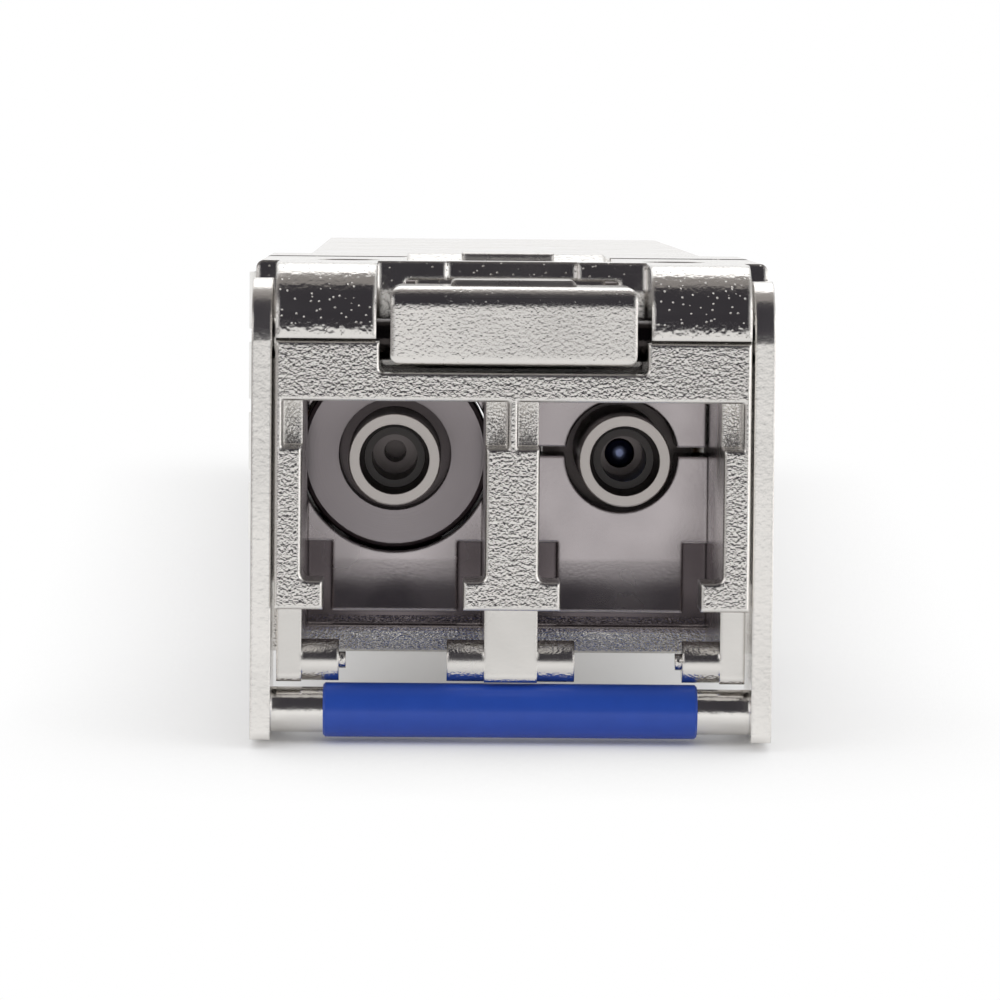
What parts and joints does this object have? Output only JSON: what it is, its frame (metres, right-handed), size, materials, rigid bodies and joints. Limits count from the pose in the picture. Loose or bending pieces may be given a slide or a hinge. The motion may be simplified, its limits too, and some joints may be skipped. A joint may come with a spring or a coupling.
{
  "type": "pluggable optical transceiver module",
  "caption": "Pluggable fibre transceiver with duplex LC ports in a nickel-plated casting, a blue-sleeved bail latch, a rocking latch lever and a gold card edge at the rear.",
  "frame": {"origin": "middle of the cage section, on the plane of the stop face that meets the cage", "axes": "+Y from the ports to the card edge, +Z to the latch side, +X to the right when looking into the ports"},
  "size_m": [0.0146, 0.0565, 0.0126],
  "materials": {
    "nickel_plated_zinc": "nickel plate over a fine cast grain",
    "nickel_plated_bail": "smooth nickel plate",
    "blue_plastic": "smooth sleeve with a soft gloss",
    "steel": "turned stainless steel",
    "spring_steel": "plated spring sheet",
    "polymer_sleeve": "dark amber moulded polymer",
    "gold": "gold plate",
    "flex_film": "amber film",
    "lens_glass": "coated lens",
    "board_laminate": "green solder mask",
    "chip_epoxy": "black moulded epoxy",
    "capacitor_ceramic": "tan ceramic with tinned ends",
    "inductor_ferrite": "grey ferrite"
  },
  "bodies": {
    "housing": {"port_housing": "nickel_plated_zinc", "latch_housing": "nickel_plated_zinc", "lever_pivot_pin": "steel", "lever_spring": "spring_steel", "emi_collar": "spring_steel", "osa_clamp": "nickel_plated_zinc", "tosa_barrel": "steel", "tosa_sleeve": "polymer_sleeve", "tosa_flange": "steel", "tosa_can": "steel", "tosa_leads": "gold", "tosa_flex": "flex_film", "rosa_barrel": "steel", "rosa_sleeve": "polymer_sleeve", "rosa_lens": "lens_glass", "rosa_can": "steel", "rosa_leads": "gold", "rosa_flex": "flex_film", "main_board": "board_laminate", "edge_contacts": "gold", "laser_driver_chip": "chip_epoxy", "receiver_amp_chip": "chip_epoxy", "controller_chip": "chip_epoxy", "chip_capacitors": "capacitor_ceramic", "power_inductors": "inductor_ferrite"},
    "bail": {"bail": "nickel_plated_bail", "bail_sleeve": "blue_plastic"},
    "lever": {"latch_lever": "nickel_plated_zinc"}
  },
  "joints": [
    {"name": "bail_swing", "type": "hinge", "parent": "housing", "child": "bail", "pos_m": [0, -0.0071, 0.00228], "axis": [-1, 0, 0], "range_deg": [0, 90]},
    {"name": "lever_rock", "type": "hinge", "parent": "housing", "child": "lever", "pos_m": [0, -0.0015, 0.00335], "axis": [-1, 0, 0], "range_deg": [0, 6.5], "deforming": ["lever_spring"]}
  ],
  "couplings": [
    {"joint": "lever_rock", "follows": "bail_swing", "ratio": 0.0722}
  ]
}
